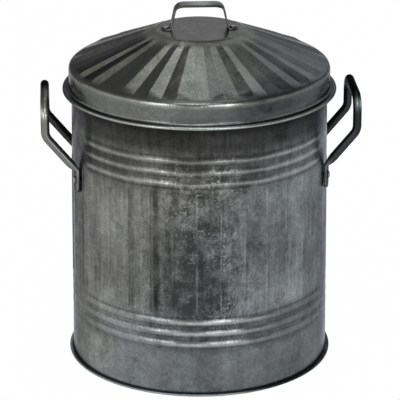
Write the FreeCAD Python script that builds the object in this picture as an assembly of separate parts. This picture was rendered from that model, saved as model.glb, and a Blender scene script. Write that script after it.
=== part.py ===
import FreeCAD, Part
import math
import os

# Ash bucket in galvanised sheet, with a fluted lift-off lid.
# Millimetres, +Z up. The origin is the middle of the foot; the side handles stand on +X and -X.

# Sheet and clearances
sheet = 0.8
seam_gap = 0.2
lid_seat = 0.3
lid_side_fit = 0.4
hole_fit = 0.1
wall_fit = 0.1

# Body wall
body_height = 352.4
foot_radius = 151.8
wall_taper = 3.6
rim_roll = 3.0

# Beads round the wall, in two groups
bead_height = 1.1
bead_width = 9.0
bead_pitch = 13.4
beads_per_group = 3
lower_beads = 76.5
upper_beads_drop = 83.2

# Vertical creases between the two groups of beads
crease_count = 34
crease_turn = 1.6
crease_width = 4.0
crease_depth = 0.4
crease_margin = 4.0

# Base pan and foot seam
seam_reach = 4.4
seam_bevel = 0.7
floor_rise = 8.0

# Lid
lid_slope = 22.2
disc_margin = 6.5
disc_step = 1.2
disc_step_run = 1.6
shoulder_fold = 3.0
skirt_drop = 25.6
brim_reach = 7.5
brim_roll = 4.4

# Flutes pressed outward in the lid's cone, in groups with a plain strip before each group
flute_groups = (3, 2, 3, 2, 3, 2, 3, 2, 2)
flute_pitch = 13.4
flute_turn = -144.0
flute_height = 2.1
flute_share = 0.94
flute_inner_gap = 5.4
flute_outer_gap = 5.6
flute_ramp = 12.0
flute_root = 0.4

# Strap handle on the lid
strap_sheet = 1.2
strap_width = 18.0
strap_rise = 30.8
strap_top_half = 28.0
strap_leg_half = 33.0
strap_foot_fillet = 0.4
strap_foot_margin = 1.0
strap_bend = 5.0
strap_lip = 2.8

# Side handles, bent from round rod with flattened ends
rod = 10.0
handle_span = 91.0
handle_reach = 31.4
handle_drop = 26.4
grip_rise = 44.0
leg_rise = 42.0
handle_corner = 18.0
handle_bend = 16.0
neck_length = 14.0
tab_length = 26.4
tab_width = 14.0
tab_thickness = 4.6
tab_rivet_rise = 15.4

# Rivets
rivet_shank = 4.0
rivet_head = 9.0
rivet_head_height = 2.2
rivet_tail = 6.4
rivet_tail_height = 1.4

UP = FreeCAD.Vector(0, 0, 1)
ORIGIN = FreeCAD.Vector(0, 0, 0)


def wall(z):
    """Outer radius of the wall at a height."""
    return foot_radius - wall_taper * z / body_height


def at(r, z):
    """Point in the half plane that is turned about the axis."""
    return FreeCAD.Vector(r, 0, z)


def polar(centre, radius, degrees):
    """Point on a circle in the XZ plane."""
    turn = math.radians(degrees)
    return centre + FreeCAD.Vector(radius * math.cos(turn), 0, radius * math.sin(turn))


def outline(start, steps):
    """Closed face: a step is an end point, or a (point on the way, end point) pair for an arc."""
    edges = []
    here = start
    for step in steps:
        if isinstance(step, tuple):
            edges.append(Part.Arc(here, step[0], step[1]).toShape())
            here = step[1]
        else:
            edges.append(Part.LineSegment(here, step).toShape())
            here = step
    if not here.isEqual(start, 1e-6):
        edges.append(Part.LineSegment(here, start).toShape())
    return Part.Face(Part.Wire(edges))


def turned(face):
    """Solid of revolution about the upright axis."""
    return face.revolve(ORIGIN, UP, 360)


def rounded_path(points, radii):
    """Straight runs through the points, with an arc of the given radius at each inner one."""
    edges = []
    here = points[0]
    for before, corner, after, radius in zip(points, points[1:], points[2:], radii):
        back = (before - corner).normalize()
        ahead = (after - corner).normalize()
        half = back.getAngle(ahead) / 2
        reach = radius / math.tan(half)
        middle = corner + (back + ahead).normalize() * (radius / math.sin(half) - radius)
        edges.append(Part.LineSegment(here, corner + back * reach).toShape())
        edges.append(Part.Arc(corner + back * reach, middle, corner + ahead * reach).toShape())
        here = corner + ahead * reach
    edges.append(Part.LineSegment(here, points[-1]).toShape())
    return Part.Wire(edges)


def ring_of(shape, turns):
    """Copies of a shape, turned round the upright axis."""
    copies = []
    for turn in turns:
        copy = shape.copy()
        copy.rotate(ORIGIN, UP, turn)
        copies.append(copy)
    return copies


def mirrored(shape):
    """The same piece on the other side."""
    return shape.mirror(ORIGIN, FreeCAD.Vector(1, 0, 0))


# Body shell

upper_beads = body_height - upper_beads_drop
bead_heights = [
    group + (n - (beads_per_group - 1) / 2) * bead_pitch
    for group in (lower_beads, upper_beads)
    for n in range(beads_per_group)
]
rim_roll_z = body_height - rim_roll / 2
rim_roll_centre = at(wall(rim_roll_z) - sheet + rim_roll / 2, rim_roll_z)
seam_radius = foot_radius + seam_reach


def wall_skin(inset, rising):
    """Steps along one face of the wall, up or down, with an arc over each bead."""
    side = 1 if rising else -1
    steps = []
    for z in bead_heights[::side]:
        near = z - side * bead_width / 2
        far = z + side * bead_width / 2
        steps.append(at(wall(near) - inset, near))
        crest = at(wall(z) - inset + bead_height, z)
        steps.append((crest, at(wall(far) - inset, far)))
    return steps


def crease_cutter():
    """Three-sided bar along the wall, for one shallow vertical crease."""
    clear = bead_width / 2 + crease_margin
    half_group = (beads_per_group - 1) / 2 * bead_pitch
    sections = []
    for z in (lower_beads + half_group + clear, upper_beads - half_group - clear):
        root = FreeCAD.Vector(wall(z) - crease_depth, 0, z)
        mouth = wall(z) + crease_depth
        left = FreeCAD.Vector(mouth, -crease_width, z)
        right = FreeCAD.Vector(mouth, crease_width, z)
        sections.append(Part.makePolygon([root, right, left, root]))
    return Part.makeLoft(sections, True, True)


def body_shell():
    """Wall with beads and creases, rolled at the rim and flanged out at the foot."""
    roll_meets = math.degrees(math.acos((sheet - rim_roll / 2) / (rim_roll / 2)))
    flange = seam_radius - sheet - seam_gap
    steps = [at(flange, 2 * sheet), at(wall(2 * sheet), 2 * sheet)]
    steps += wall_skin(0, True)
    steps.append(polar(rim_roll_centre, rim_roll / 2, -roll_meets))
    over = polar(rim_roll_centre, rim_roll / 2, (180 - roll_meets) / 2)
    steps.append((over, polar(rim_roll_centre, rim_roll / 2, 180)))
    steps += wall_skin(sheet, False)
    steps.append(at(wall(sheet) - sheet, sheet))
    shell = turned(outline(at(flange, sheet), steps))
    creases = [crease_turn + n * 360 / crease_count for n in range(crease_count)]
    drills = [tab_hole(-1), tab_hole(1), mirrored(tab_hole(-1)), mirrored(tab_hole(1))]
    return shell.cut(ring_of(crease_cutter(), creases)).cut(drills)


def base_pan():
    """Raised floor, its side inside the wall, and its edge folded round the foot flange."""
    side = wall(sheet) - sheet - wall_fit
    fold_top = 3 * sheet + seam_gap
    lip = wall(fold_top) + seam_gap
    steps = [
        at(0, floor_rise + sheet),
        at(side, floor_rise + sheet),
        at(side, sheet),
        at(seam_radius - sheet, sheet),
        at(seam_radius - sheet, fold_top - sheet),
        at(lip, fold_top - sheet),
        at(lip, fold_top),
        at(seam_radius - seam_bevel, fold_top),
        at(seam_radius, fold_top - seam_bevel),
        at(seam_radius, seam_bevel),
        at(seam_radius - seam_bevel, 0),
        at(side - sheet, 0),
        at(side - sheet, floor_rise),
    ]
    return turned(outline(at(0, floor_rise), steps))


# Lid

slope = math.radians(lid_slope)
lean = FreeCAD.Vector(math.sin(slope), 0, math.cos(slope))
skirt_in = rim_roll_centre.x + rim_roll / 2 + lid_side_fit
skirt_out = skirt_in + sheet
cone_offset = rim_roll / 2 + lid_seat + sheet

strap_turn = math.atan2(strap_rise - strap_sheet, strap_leg_half - strap_top_half)
strap_foot_bend = strap_sheet + strap_foot_fillet
strap_foot_start = strap_leg_half + strap_foot_bend * math.tan(strap_turn / 2)
strap_rivet_half = strap_foot_start + rivet_head / 2 + hole_fit
strap_foot_half = strap_rivet_half + rivet_head / 2 + strap_foot_margin

disc_radius = strap_foot_half + disc_margin
flute_start = disc_radius + disc_step_run + flute_inner_gap
flute_end = skirt_out - flute_outer_gap


def cone(r, inset=0):
    """Point on the lid's cone; an inset goes into the sheet, square to it."""
    drop = (cone_offset - inset - (r - rim_roll_centre.x) * lean.x) / lean.z
    return at(r, rim_roll_centre.z + drop)


brim_top = cone(skirt_out).z - skirt_drop
disc_top = cone(disc_radius + disc_step_run).z + disc_step


def shoulder(radius):
    """Arc step from the cone over the fold to the skirt."""
    centre = cone(skirt_out - shoulder_fold, shoulder_fold)
    middle = (lean + FreeCAD.Vector(1, 0, 0)).normalize()
    return centre + lean * radius, centre + middle * radius, centre + FreeCAD.Vector(radius, 0, 0)


def lid_sheet():
    """Plain turned lid: disc, cone, shoulder, skirt, brim and rolled edge."""
    outer = shoulder(shoulder_fold)
    inner = shoulder(shoulder_fold - sheet)
    roll = at(skirt_out + brim_reach - brim_roll / 2, brim_top - brim_roll / 2)
    roll_meets = 180 - math.degrees(math.asin((brim_roll / 2 - sheet) / (brim_roll / 2)))
    steps = [
        at(disc_radius, disc_top),
        cone(disc_radius + disc_step_run),
        outer[0],
        (outer[1], outer[2]),
        at(skirt_out, brim_top),
        polar(roll, brim_roll / 2, 90),
        (polar(roll, brim_roll / 2, roll_meets / 2 - 135), polar(roll, brim_roll / 2, roll_meets)),
        at(skirt_in, brim_top - sheet),
        inner[2],
        (inner[1], inner[0]),
        cone(disc_radius + disc_step_run - sheet / 2, sheet),
        at(disc_radius - sheet / 2, disc_top - sheet),
        at(0, disc_top - sheet),
    ]
    return turned(outline(at(0, disc_top), steps))


def flute_section(r, rise):
    """Low gable across one flute; rise is 1 at full depth, and the sides sink into the cone."""
    half = flute_share * math.radians(flute_pitch / 2)
    scale = r / (flute_end - flute_ramp)
    root = flute_root * scale
    crown = FreeCAD.Vector(r, 0, cone(r).z + flute_height * scale * rise - root / 2 * (1 - rise))
    right = FreeCAD.Vector(r, r * math.tan(half), cone(r / math.cos(half)).z - root)
    left = FreeCAD.Vector(r, -right.y, right.z)
    sink = FreeCAD.Vector(0, 0, -root)
    return Part.makePolygon([left, crown, right, right + sink, left + sink, left])


def flute():
    """One radial flute, rising out of the cone and running back into it."""
    sections = [
        flute_section(flute_start, 0),
        flute_section(flute_start + flute_ramp, 1),
        flute_section(flute_end - flute_ramp, 1),
        flute_section(flute_end, 0),
    ]
    return Part.makeLoft(sections, True, True)


def flute_turns():
    """Angle of each flute's ridge, group by group."""
    strip = (360 - flute_pitch * sum(flute_groups)) / len(flute_groups)
    start = flute_turn
    turns = []
    for count in flute_groups:
        start += strip
        turns += [start + (n + 0.5) * flute_pitch for n in range(count)]
        start += count * flute_pitch
    return turns


def lid_shell():
    """Lid sheet with the flutes raised outside, hollowed inside, and drilled for the strap."""
    ridges = flute()
    hollows = flute().translated(FreeCAD.Vector(0, 0, -sheet / lean.z))
    shell = lid_sheet().fuse(ring_of(ridges, flute_turns()))
    shell = shell.cut(ring_of(hollows, flute_turns()))
    return shell.cut([strap_hole(-1), strap_hole(1)])


def strap_hole(side):
    """Drill for one strap rivet."""
    centre = FreeCAD.Vector(side * strap_rivet_half, 0, disc_top - 2 * sheet)
    return Part.makeCylinder(rivet_shank / 2 + hole_fit, 3 * sheet + strap_sheet, centre)


def lid_handle():
    """Bent strap with rounded feet and edges turned down along the grip."""
    crown = disc_top + strap_rise - strap_sheet
    line = [
        at(-strap_foot_half, disc_top),
        at(-strap_leg_half, disc_top),
        at(-strap_top_half, crown),
        at(strap_top_half, crown),
        at(strap_leg_half, disc_top),
        at(strap_foot_half, disc_top),
    ]
    bends = [strap_foot_bend, strap_bend, strap_bend, strap_foot_bend]
    band = rounded_path(line, bends).makeOffset2D(strap_sheet, fill=True, openResult=True)
    strap = band.extrude(FreeCAD.Vector(0, strap_width, 0))
    strap.translate(FreeCAD.Vector(0, -strap_width / 2, 0))
    strap = strap.common(strap_plan())
    lips = [strap_edge(-strap_width / 2), strap_edge(strap_width / 2 - strap_sheet)]
    return strap.fuse(lips).cut([strap_hole(-1), strap_hole(1)])


def strap_plan():
    """Upright prism of the strap's plan: a long slot shape with round ends."""
    end = strap_width / 2
    run = strap_foot_half - end
    steps = [
        FreeCAD.Vector(run, -end, disc_top),
        (FreeCAD.Vector(strap_foot_half, 0, disc_top), FreeCAD.Vector(run, end, disc_top)),
        FreeCAD.Vector(-run, end, disc_top),
        (FreeCAD.Vector(-strap_foot_half, 0, disc_top), FreeCAD.Vector(-run, -end, disc_top)),
    ]
    return outline(FreeCAD.Vector(-run, -end, disc_top), steps).extrude(UP * (2 * strap_rise))


def strap_edge(y):
    """Turned-down edge under one side of the grip."""
    top = disc_top + strap_rise - strap_sheet / 2
    low = disc_top + strap_rise - strap_sheet - strap_lip
    half = strap_top_half - strap_bend
    corners = [(-half, top), (half, top), (half - strap_lip, low), (strap_lip - half, low)]
    points = [FreeCAD.Vector(x, y, z) for x, z in corners]
    face = Part.Face(Part.makePolygon(points + points[:1]))
    return face.extrude(FreeCAD.Vector(0, strap_sheet, 0))


# Side handles

handle_out = wall(body_height) + handle_reach
handle_top = body_height - handle_drop
handle_knee = handle_top - grip_rise
tab_top = handle_knee - leg_rise
tab_bottom = tab_top - tab_length
tab_rivet_height = tab_bottom + tab_rivet_rise
tab_angle = math.degrees(math.asin(handle_span / 2 / wall(tab_rivet_height)))


def tab_frame(side):
    """Placement on the wall at one handle end: local X points out of the wall."""
    turn = FreeCAD.Rotation(UP, side * tab_angle)
    foot = turn.multVec(FreeCAD.Vector(wall(tab_rivet_height), 0, 0))
    return FreeCAD.Placement(foot, turn)


def tab(side):
    """Flattened end of the rod: a plate with a round lower end, shaped to the wall behind it."""
    half = tab_width / 2
    low = tab_bottom + half
    steps = [
        FreeCAD.Vector(-tab_thickness, half, tab_top),
        FreeCAD.Vector(-tab_thickness, half, low),
        (FreeCAD.Vector(-tab_thickness, 0, tab_bottom), FreeCAD.Vector(-tab_thickness, -half, low)),
    ]
    plate = outline(FreeCAD.Vector(-tab_thickness, -half, tab_top), steps)
    plate = plate.extrude(FreeCAD.Vector(2 * tab_thickness, 0, 0))
    plate.Placement = tab_frame(side)
    return plate


def neck(side, rod_end, heading):
    """Blend from the top of a tab to the end of the round rod."""
    flat = Part.Ellipse(ORIGIN, tab_width / 2, tab_thickness / 2).toShape()
    flat.rotate(ORIGIN, UP, 90)
    flat.translate(FreeCAD.Vector(tab_thickness / 2, 0, tab_top))
    flat.Placement = tab_frame(side).multiply(flat.Placement)
    circle = Part.makeCircle(rod / 2, rod_end, heading)
    return Part.makeLoft([Part.Wire(flat), Part.Wire(circle)], True, True)


def right_handle():
    """Rod bent into a raised grip, ending in two tabs on the wall."""
    y = handle_span / 2
    bar = handle_top - rod / 2
    root = FreeCAD.Vector(tab_frame(1).Base.x + tab_thickness / 2, -y, tab_top)
    knee = FreeCAD.Vector(handle_out, -y, handle_knee)
    heading = (knee - root).normalize()
    start = root + heading * neck_length
    half = [start, knee, FreeCAD.Vector(handle_out, -y, bar)]
    points = half + [FreeCAD.Vector(p.x, -p.y, p.z) for p in half[::-1]]
    path = rounded_path(points, [handle_bend, handle_corner, handle_corner, handle_bend])
    grip = path.makePipeShell([Part.Wire(Part.makeCircle(rod / 2, start, heading))], True, False)
    back_heading = FreeCAD.Vector(heading.x, -heading.y, heading.z)
    ends = [tab(-1), tab(1), neck(-1, start, heading), neck(1, points[-1], back_heading)]
    backing = turned(outline(at(0, 0), [
        at(wall(0) + wall_fit, 0),
        at(wall(body_height) + wall_fit, body_height),
        at(0, body_height),
    ]))
    return grip.fuse(ends).cut(backing).cut([tab_hole(-1), tab_hole(1)])


def tab_hole(side):
    """Drill for one handle rivet, through the tab and the wall."""
    start = FreeCAD.Vector(-3 * sheet, 0, tab_rivet_height)
    length = 3 * sheet + 2 * tab_thickness
    hole = Part.makeCylinder(rivet_shank / 2 + hole_fit, length, start, FreeCAD.Vector(1, 0, 0))
    hole.Placement = tab_frame(side).multiply(hole.Placement)
    return hole


# Rivets

def rivet(grip):
    """Domed head above the plane z = 0, shank through the grip, and a flat tail below."""
    shank = rivet_shank / 2
    head = rivet_head / 2
    tail = rivet_tail / 2
    dome = (head * head + rivet_head_height * rivet_head_height) / (2 * rivet_head_height)
    way = math.asin(head / dome) / 2
    crest = at(dome * math.sin(way), rivet_head_height - dome + dome * math.cos(way))
    steps = [
        at(tail, -grip - rivet_tail_height),
        at(tail, -grip),
        at(shank, -grip),
        at(shank, 0),
        at(head, 0),
        (crest, at(0, rivet_head_height)),
    ]
    return turned(outline(at(0, -grip - rivet_tail_height), steps))


def strap_rivet(side):
    """Rivet through a strap foot and the lid's disc."""
    solid = rivet(strap_sheet + sheet)
    solid.translate(FreeCAD.Vector(side * strap_rivet_half, 0, disc_top + strap_sheet))
    return solid


def tab_rivet(side):
    """Rivet through a handle tab and the wall."""
    solid = rivet(tab_thickness + sheet + wall_fit)
    solid.rotate(ORIGIN, FreeCAD.Vector(0, 1, 0), 90)
    solid.translate(FreeCAD.Vector(tab_thickness, 0, tab_rivet_height))
    solid.Placement = tab_frame(side).multiply(solid.Placement)
    return solid


handle = right_handle()
pieces = {
    "body_shell": body_shell(),
    "base_pan": base_pan(),
    "right_handle": handle,
    "left_handle": mirrored(handle),
    "right_front_rivet": tab_rivet(-1),
    "right_rear_rivet": tab_rivet(1),
    "left_front_rivet": mirrored(tab_rivet(-1)),
    "left_rear_rivet": mirrored(tab_rivet(1)),
    "lid_shell": lid_shell(),
    "lid_handle": lid_handle(),
    "lid_left_rivet": strap_rivet(-1),
    "lid_right_rivet": strap_rivet(1),
}

os.makedirs("parts", exist_ok=True)
for name, shape in pieces.items():
    shape.exportStep(f"parts/{name}.step")
    print(name, len(shape.Solids), round(shape.Volume), shape.isValid())
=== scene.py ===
import math
from collections import namedtuple

import bmesh
import bpy
import numpy as np
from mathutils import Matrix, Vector


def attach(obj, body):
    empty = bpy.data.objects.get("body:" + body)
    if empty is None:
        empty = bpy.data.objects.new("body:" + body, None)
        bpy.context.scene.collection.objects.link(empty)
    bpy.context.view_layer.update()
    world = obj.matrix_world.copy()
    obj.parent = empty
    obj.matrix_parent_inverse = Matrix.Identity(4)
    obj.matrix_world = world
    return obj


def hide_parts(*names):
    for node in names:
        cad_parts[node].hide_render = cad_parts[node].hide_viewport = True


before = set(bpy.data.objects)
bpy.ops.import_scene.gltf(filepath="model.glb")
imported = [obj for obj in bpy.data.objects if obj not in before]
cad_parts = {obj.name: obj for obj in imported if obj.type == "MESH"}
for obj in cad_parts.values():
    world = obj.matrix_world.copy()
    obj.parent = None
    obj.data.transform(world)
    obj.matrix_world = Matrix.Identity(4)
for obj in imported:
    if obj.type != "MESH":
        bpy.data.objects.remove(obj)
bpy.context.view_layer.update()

# A millimetre in metres
MILLIMETRE = 0.001

# Sizes in millimetres, the same as the solids
SHEET = 0.8
BODY_HEIGHT = 352.4
FOOT_RADIUS = 151.8
WALL_TAPER = 3.6
RIM_ROLL = 3.0
BEAD_HEIGHT = 1.1
BEAD_HALF = 4.9
BEAD_PITCH = 13.4
BEAD_GROUPS = (63.1, 255.8)
BEADS = [low + n * BEAD_PITCH for low in BEAD_GROUPS for n in range(3)]
CREASES = 34
CREASE_TURN = 1.6
CREASE_LOW = 97.0
CREASE_HIGH = 248.5
SEAM_RADIUS = 156.2
PAN_FLOOR = 8.8
LID_GAP = 0.3
DISC_TOP = 394.23
DISC_RADIUS = 50.95
DISC_FOOT = DISC_RADIUS + 1.6
LID_SLOPE = math.radians(22.2)
SKIRT_OUT = 151.6
BRIM_TOP = 327.0
BRIM_REACH = 7.5
BRIM_ROLL = 2.2
FLUTE_GROUPS = (3, 2, 3, 2, 3, 2, 3, 2, 2)
FLUTE_PITCH = 13.4
FLUTE_TURN = -144.0
FLUTE_HEIGHT = 2.1
FLUTE_HEIGHT_AT = 134.0
FLUTE_START = 57.0
FLUTE_END = 147.5
FLUTE_RUN = 9.0
STRAP_SHEET = 1.2
STRAP_HALF = 9.0
STRAP_CROWN = DISC_TOP + 30.8
STRAP_RIVET = 38.95
STRAP_TOE = STRAP_RIVET + 5.5
STRAP_HEEL = 33.0
STRAP_SHOULDER = 27.0
STRAP_HEEL_BEND = 2.2
STRAP_BEND = 11.0
ROD_RADIUS = 5.0
HANDLE_Y = 45.5
HANDLE_OUT = 179.6
HANDLE_TOP = 326.0
HANDLE_KNEE = 282.0
HANDLE_CORNER = 18.0
HANDLE_BEND = 16.0
TAB_TOP = 240.0
TAB_BOTTOM = 213.6
TAB_HALF = 7.0
TAB_THICK = 4.6
TAB_GAP = 0.15
TAB_SLACK = 0.1
TAB_RIVET = 229.0
DOME_RADIUS = 4.5
DOME_HEIGHT = 2.2
SHANK_RADIUS = 2.0
TAIL_RADIUS = 3.2
TAIL_HEIGHT = 1.4

# Small forms that only the scene shows, in millimetres
WALL_MIDDLE = 170.0
WALL_WAVE = 0.16
LID_WAVE = 0.12
LEG_LIP = 1.0
GRIP_LIP = 1.5
NECK_FROM = 24.4
NECK_LENGTH = 14.0

# Shares of a panel's width, of a bead's height, of half a flute and of half the strap
STEP_AT = 0.93
LOW_BEADS_PRESSED = 0.75
RIDGE_ROUND = 0.04
LIP_FROM = 0.62

# Flats beside the side handles begin and are full where the cosine from +X or -X has these values
FLAT_FROM = 0.879
FLAT_FULL = 0.913

# Marks of use, painted reflection and painted shade on the wall: places in degrees from +X, heights in
# millimetres, bells as (place, width, height)
# The front, where the wear and most painted highlights are centred
FRONT = -93.5
SOFT_CREASES = 218.5
DIRT_RUNS = ((247.2, 1.3, 1.3), (235.9, 1.2, 0.75))
# A paler foot at the left: painted reflection
PALE_FOOT = 211.0
FROST_PLACES = (35, 108, 175, 267)
FROST_WIDTH = 21.0
LID_SHADE = 306.0

# The left and right sides begin where the sine from the front has this value
SIDE_FROM = 0.2

# Painted reflections, highlights and shade on the lid: the same, with places in degrees from the front, and
# the darkest tone of the flutes
LEFT_FLUTES = (-66, 17)
LIGHT_FLUTES = ((14, 5, 0.4), (28, 5, 0.35))
DARK_FLUTES = ((20, 6, 0.36), (-34, 11, -0.6), (41, 7, -0.28))
CONE_PATCHES = ((0, 15, 0.2), (34, 13, -0.22))
SKIRT_PATCHES = ((0, 14, -0.04), (22, 20, -0.3), (-26, 12, 0.2), (-52, 13, -0.2))
BRIM_FRONT = 45.0
DARKEST = -0.66

# Points round a rod, a rivet, the base pan and a rounded corner
ROD_POINTS = 24
RIVET_POINTS = 32
BASE_POINTS = 300
CORNER_POINTS = 6


def wall(z):
    """Outer radius of the plain wall at a height."""
    return FOOT_RADIUS - WALL_TAPER * z / BODY_HEIGHT


RIM_Z = BODY_HEIGHT - RIM_ROLL / 2
RIM_R = wall(RIM_Z) - SHEET + RIM_ROLL / 2
TAB_ANGLE = math.asin(HANDLE_Y / wall(TAB_RIVET))


def smooth(t):
    """Soft step from 0 to 1."""
    t = np.clip(t, 0, 1)
    return t * t * (3 - 2 * t)


def between(x, low, rise, high, fall):
    """1 between two places, rising softly past the low one and falling softly before the high one."""
    return smooth((x - low) / rise) * smooth((high - x) / fall)


def hump(x, place, width):
    """Bell of height 1 at a place."""
    return np.exp(-((x - place) / width) ** 2)


def humps(x, bells):
    """Sum of bells, each given by its place, width and height."""
    return sum(height * hump(x, place, width) for place, width, height in bells)


def from_front(angle):
    """Degrees from the front, where the wear and most painted highlights are centred, to an angle, growing to
    the right, from -180 to 180.
    """
    return (np.degrees(angle) - FRONT + 180) % 360 - 180


def soft_line(corners, step):
    """Polyline through (r, z, radius) corners, each rounded, with runs cut into parts of at least step."""
    points = [np.array(corner[:2], float) for corner in corners]
    line = []
    for n, (_, _, radius) in enumerate(corners):
        here = points[n]
        if radius <= 0:
            line.append(here)
            continue
        back = points[n - 1] - here
        ahead = points[n + 1] - here
        back_unit = back / np.linalg.norm(back)
        ahead_unit = ahead / np.linalg.norm(ahead)
        half = math.acos(np.clip(back_unit @ ahead_unit, -1, 1)) / 2
        room = 0.48 * min(np.linalg.norm(back), np.linalg.norm(ahead))
        reach = min(radius / math.tan(half), room)
        start = here + back_unit * reach
        end = here + ahead_unit * reach
        for t in np.linspace(0, 1, CORNER_POINTS):
            line.append((1 - t) ** 2 * start + 2 * t * (1 - t) * here + t ** 2 * end)
    return cut_runs(line, step)


def cut_runs(line, step):
    """The line with each run cut into equal parts of at least step."""
    cut = []
    for a, b in zip(line, line[1:]):
        parts = max(1, int(np.linalg.norm(b - a) / step))
        cut += [a + (b - a) * k / parts for k in range(parts)]
    return np.array(cut + [line[-1]])


def make_piece(name, points, faces, body, slot, node, material, **layers):
    """Mesh object in metres from points in millimetres, standing for a CAD node and riding on a body."""
    mesh = bpy.data.meshes.new(name)
    mesh.from_pydata((np.asarray(points) * MILLIMETRE).tolist(), [], faces)
    # Wear also carries painted highlights, grime painted shade, and tone painted light and shade
    for label in ("wear", "grime", "tone", "frost"):
        layer = mesh.attributes.new(label, "FLOAT", "POINT")
        if label in layers:
            layer.data.foreach_set("value", np.asarray(layers[label], np.float32).reshape(-1))
    form = bmesh.new()
    form.from_mesh(mesh)
    bmesh.ops.recalc_face_normals(form, faces=form.faces)
    form.to_mesh(mesh)
    form.free()
    mesh.shade_smooth()
    mesh.materials.append(material)
    piece = bpy.data.objects.new(name, mesh)
    bpy.context.scene.collection.objects.link(piece)
    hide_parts(node)
    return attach(piece, body)


def loop_faces(rows, columns, close_rows):
    """Quads of a grid whose columns run round in a ring."""
    faces = []
    for i in range(rows if close_rows else rows - 1):
        a = i * columns
        b = (i + 1) % rows * columns
        for j in range(columns):
            k = (j + 1) % columns
            faces.append((a + j, a + k, b + k, b + j))
    return faces


def tube_faces(rows, columns):
    """Quads of an open grid and a flat face over each end."""
    last = (rows - 1) * columns
    return loop_faces(rows, columns, False) + [tuple(range(columns)), tuple(range(last, last + columns))]


def turned_faces(rows, columns):
    """Quads of an open grid, with triangles to two pole points that follow the grid's own points."""
    poles = rows * columns
    first = list(range(columns))
    last = list(range(poles - columns, poles))
    faces = loop_faces(rows, columns, False)
    for ring, pole in ((first, poles), (last, poles + 1)):
        faces += [(ring[j], ring[(j + 1) % columns], pole) for j in range(columns)]
    return faces


def round_points(radius, angle, height):
    """Points of a grid from its radius, angle and height."""
    radius, angle, height = np.broadcast_arrays(radius, angle, height)
    return np.stack([radius * np.cos(angle), radius * np.sin(angle), height], -1).reshape(-1, 3)


def ripple(angle, z):
    """Slow unevenness of hand-worked sheet, about -1 to 1."""
    waves = ((3, 0.012, 0.4), (5, -0.021, 1.9), (8, 0.017, 4.1), (13, 0.034, 2.7), (17, -0.046, 5.3))
    total = 0
    for turns, climb, start in waves:
        total = total + np.sin(turns * angle + climb * z + start)
    return total / len(waves) * 1.6


# Body wall

EDGE, OUTSIDE, INSIDE = 0, 1, 2
Row = namedtuple("Row", "radius height crease bead wear grime face", defaults=(0, 0, 0, 0, EDGE))


def wall_columns():
    """Angle of each column of the wall, its share of the way across its panel, and the panel's number."""
    across = np.array([
        0, 0.016, 0.032, 0.05, 0.075, 0.13, 0.25, 0.4, 0.55, 0.7, 0.84, 0.915, STEP_AT, 0.945, 0.97, 0.986,
    ])
    pitch = 2 * math.pi / CREASES
    turn = math.radians(CREASE_TURN)
    angle = np.concatenate([turn + (n + across) * pitch for n in range(CREASES)])
    return angle, np.tile(across, CREASES), np.repeat(np.arange(CREASES), len(across))


def wall_levels():
    """Heights of the wall's rows, closest over the beads and at the ends of the creases."""
    levels = [2 * SHEET, 2.6, 3.6, 5, 8, 12, 20, 30, 40, 50]
    reach = BEAD_HALF + 0.9
    for z in BEADS:
        levels += list(z + np.linspace(-reach, reach, 11))
    for low, high, count in ((96.2, 102, 5), (110, 236, 22), (243, 249.6, 5)):
        levels += list(np.linspace(low, high, count))
    levels += [289, *range(292, 321, 4), 328, 338, 344, 347, 348.4]
    return np.unique(np.round(levels, 3))


def wall_rows():
    """Rows of the wall's section: foot flange, up the outside, over the rolled rim and down the inside."""
    levels = wall_levels()
    bead = np.zeros_like(levels)
    groove = np.zeros_like(levels)
    for z in BEADS:
        near = np.clip((levels - z) / BEAD_HALF, -1, 1)
        bead = np.maximum(bead, 0.5 * (1 + np.cos(math.pi * near)))
        groove = np.maximum(groove, hump(np.abs(levels - z), BEAD_HALF, 1.3))
    upper = levels > WALL_MIDDLE
    crease = between(levels, CREASE_LOW, 5, CREASE_HIGH, 5)
    radius = wall(levels) + BEAD_HEIGHT * bead
    # The share of a bead that a flat presses in
    pressed = bead * np.where(upper, 1, LOW_BEADS_PRESSED)
    crest = np.where(upper, bead ** 3, bead ** 1.3)
    # Painted shade, with some dirt: in the bead grooves, at the foot where the seam meets the wall, and under
    # the lid's brim
    foot = hump(levels, 2 * SHEET, 1.8)
    under_lid = smooth((levels - LID_SHADE) / 13)
    dirt_and_painted_shade = np.maximum(np.maximum(0.66 * groove * (bead < 0.6), foot), under_lid)

    # The foot flange and the lowest inside row are darkened fully: painted shade
    rows = [Row(SEAM_RADIUS - 1.0, SHEET, grime=1), Row(SEAM_RADIUS - 1.0, 2 * SHEET, grime=1)]
    for n, z in enumerate(levels):
        rows.append(Row(radius[n], z, crease[n], pressed[n], crest[n], dirt_and_painted_shade[n], OUTSIDE))
    meets = math.degrees(math.acos((SHEET - RIM_ROLL / 2) / (RIM_ROLL / 2)))
    for a in np.radians(np.linspace(-meets, 180, 15)):
        rim_r = RIM_R + RIM_ROLL / 2 * math.cos(a)
        rim_z = RIM_Z + RIM_ROLL / 2 * math.sin(a)
        rows.append(Row(rim_r, rim_z, wear=0.5, grime=0.2))
    for n in range(len(levels))[::-3]:
        rows.append(Row(radius[n] - SHEET, levels[n], crease[n], pressed[n], grime=0.1, face=INSIDE))
    rows.append(Row(wall(SHEET) - SHEET, SHEET, grime=1))
    return Row(*(column[:, None] for column in np.array(rows).T))


def crease_sharpness(angle):
    """1 where creases are sharp; on the left of the front they are nearly pressed flat."""
    return 1 - 0.7 * hump(np.degrees(angle), SOFT_CREASES, 13)


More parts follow.
